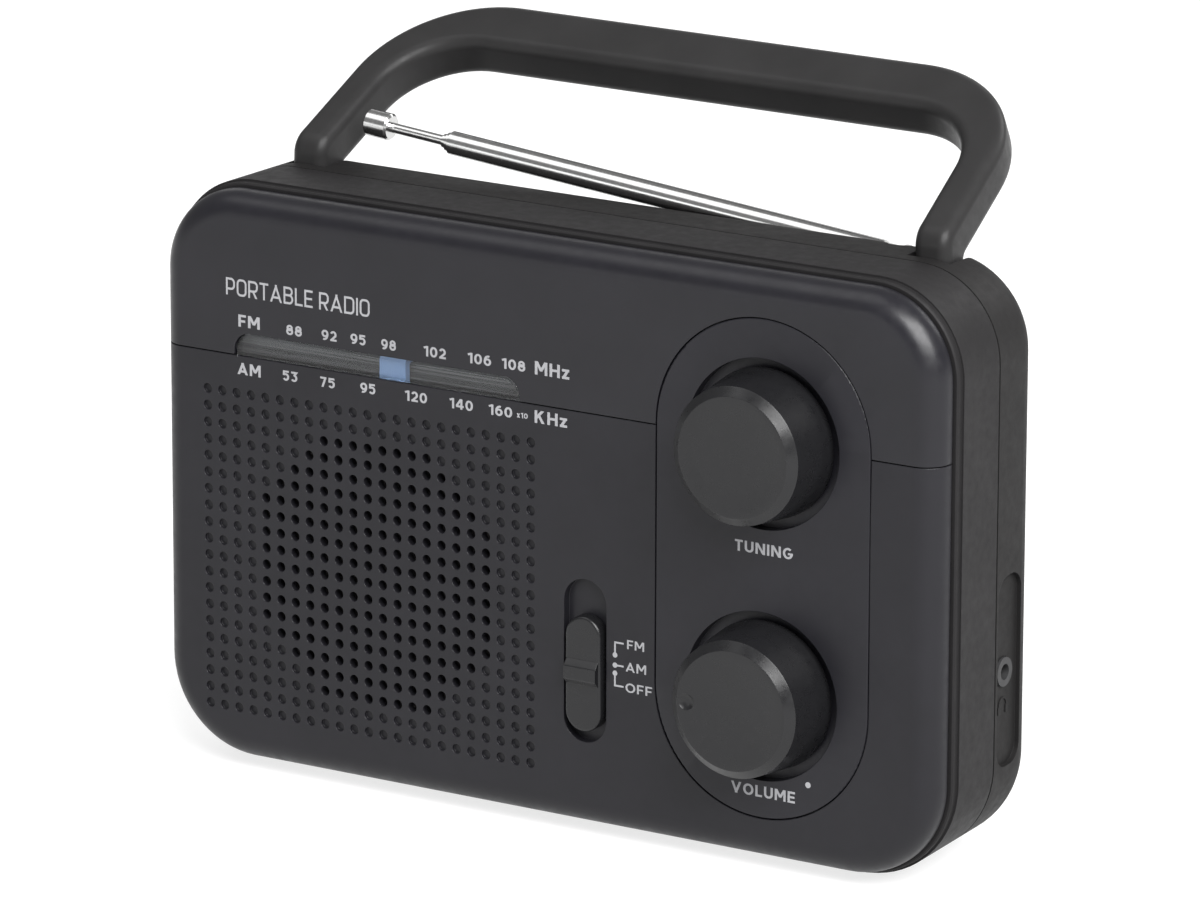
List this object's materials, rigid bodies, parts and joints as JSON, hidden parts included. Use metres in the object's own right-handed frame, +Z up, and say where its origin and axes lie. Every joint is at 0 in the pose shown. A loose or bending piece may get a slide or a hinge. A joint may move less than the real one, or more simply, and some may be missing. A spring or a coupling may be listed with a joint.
{
  "type": "portable radio",
  "caption": "Black plastic portable radio with a bail handle, round tuning and volume knobs, a window scale with a sliding pointer, a perforated speaker grille and a telescopic aerial.",
  "frame": {"origin": "centre of the resting plane under the case, midway between the grille face and the rear face", "axes": "+X to the right seen from the front, +Y towards the rear, +Z up"},
  "size_m": [0.2088, 0.0984, 0.1702],
  "materials": {
    "case_matt": "fine matt texture",
    "case_rear": "fine matt texture",
    "fascia_satin": "satin",
    "grille_matt": "matt",
    "panel_satin": "satin",
    "knob_satin": "satin",
    "handle_semigloss": "semi-gloss",
    "lens_clear": "clear",
    "pointer_blue": "satin",
    "plastic_grey": "moulded",
    "plastic_white": "moulded",
    "cord_waxed": "waxed braid",
    "chrome": "polished",
    "steel": "plated",
    "brass_plain": "machined",
    "paper_black": "pressed fibre",
    "magnet": "sintered",
    "board_brown": "laminate",
    "ferrite": "sintered",
    "copper_wire": "enamelled wire",
    "can_alu": "drawn",
    "sleeve_dark": "shrink sleeve",
    "chip_black": "moulded",
    "rubber_foot": "matt"
  },
  "bodies": {
    "case": {"band_switch": "plastic_grey", "battery_plates": "steel", "battery_springs": "steel", "battery_tray": "case_rear", "case_screws": "steel", "control_panel": "panel_satin", "dial_backplate": "chip_black", "dial_cord": "cord_waxed", "dial_lens": "lens_clear", "electrolytics": "sleeve_dark", "feet": "rubber_foot", "ferrite_coil": "copper_wire", "ferrite_holders": "plastic_white", "ferrite_rod": "ferrite", "front_housing": "case_matt", "grille_fascia": "grille_matt", "handle_pins": "steel", "headphone_jack": "chip_black", "idler_pin": "steel", "if_cans": "can_alu", "main_pcb": "board_brown", "pcb_screws": "steel", "pcb_standoffs": "plastic_grey", "radio_chip": "chip_black", "rear_housing": "case_rear", "speaker_basket": "steel", "speaker_cone": "paper_black", "speaker_gasket": "paper_black", "speaker_magnet": "magnet", "speaker_screws": "steel", "tuning_capacitor": "plastic_white", "upper_fascia": "fascia_satin", "volume_nut": "steel", "volume_pot": "plastic_grey"},
    "tuning": {"tuning_knob": "knob_satin", "tuning_shaft": "brass_plain", "cord_drum": "plastic_white"},
    "volume": {"volume_knob": "knob_satin", "volume_shaft": "brass_plain"},
    "pointer": {"dial_pointer": "pointer_blue"},
    "idler": {"idler_pulley": "plastic_white"},
    "band": {"band_thumb": "knob_satin"},
    "handle": {"handle": "handle_semigloss"},
    "aerial_swivel": {"antenna_base": "chrome", "antenna_hinge_pin": "chrome", "antenna_screw": "steel"},
    "aerial_outer": {"antenna_tube_outer": "chrome"},
    "aerial_middle": {"antenna_tube_middle": "chrome"},
    "aerial_inner": {"antenna_tube_inner": "chrome"},
    "aerial_rod": {"antenna_rod": "chrome", "antenna_tip": "chrome"},
    "battery_door": {"battery_door": "case_rear"}
  },
  "joints": [
    {"name": "handle_fold", "type": "hinge", "parent": "case", "child": "handle", "pos_m": [0, 0.014, 0.1325], "axis": [-1, 0, 0], "range_deg": [0, 58]},
    {"name": "tuning_turn", "type": "hinge", "parent": "case", "child": "tuning", "pos_m": [0.0587, -0.012, 0.1], "axis": [0, 1, 0], "range_deg": [-92, 92]},
    {"name": "pointer_slide", "type": "slide", "parent": "case", "child": "pointer", "axis": [1, 0, 0], "range_m": [-0.0305, 0.0305]},
    {"name": "idler_turn", "type": "hinge", "parent": "case", "child": "idler", "pos_m": [-0.084, -0.012, 0.1147], "axis": [0, 1, 0], "range_deg": [-440, 440]},
    {"name": "volume_turn", "type": "hinge", "parent": "case", "child": "volume", "pos_m": [0.0587, -0.012, 0.0414], "axis": [0, 1, 0], "range_deg": [-60, 240]},
    {"name": "band_slide", "type": "slide", "parent": "case", "child": "band", "axis": [0, 0, 1], "range_m": [0, 0.0044]},
    {"name": "aerial_turn", "type": "hinge", "parent": "case", "child": "aerial_swivel", "pos_m": [0.07, 0.0206, 0.13], "axis": [0, 0, -1], "range_deg": [0, 120]},
    {"name": "aerial_tilt", "type": "hinge", "parent": "aerial_swivel", "child": "aerial_outer", "pos_m": [0.07, 0.0206, 0.1352], "axis": [0, 1, 0], "range_deg": [0, 100]},
    {"name": "aerial_extend_1", "type": "slide", "parent": "aerial_outer", "child": "aerial_middle", "axis": [-0.9959, 0, 0.0906], "range_m": [0, 0.078]},
    {"name": "aerial_extend_2", "type": "slide", "parent": "aerial_middle", "child": "aerial_inner", "axis": [-0.9959, 0, 0.0906], "range_m": [0, 0.078]},
    {"name": "aerial_extend_3", "type": "slide", "parent": "aerial_inner", "child": "aerial_rod", "axis": [-0.9959, 0, 0.0906], "range_m": [0, 0.078]},
    {"name": "battery_door_hinge", "type": "hinge", "parent": "case", "child": "battery_door", "pos_m": [0, 0.0229, 0.0094], "axis": [-1, 0, 0], "range_deg": [0, 88]}
  ],
  "couplings": [
    {"joint": "pointer_slide", "follows": "tuning_turn", "m_per_rad": 0.0187},
    {"joint": "idler_turn", "follows": "tuning_turn", "ratio": 4.675},
    {"joint": "aerial_extend_1", "follows": "aerial_tilt", "m_per_rad": 0.0445},
    {"joint": "aerial_extend_2", "follows": "aerial_tilt", "m_per_rad": 0.0445},
    {"joint": "aerial_extend_3", "follows": "aerial_tilt", "m_per_rad": 0.0445}
  ]
}
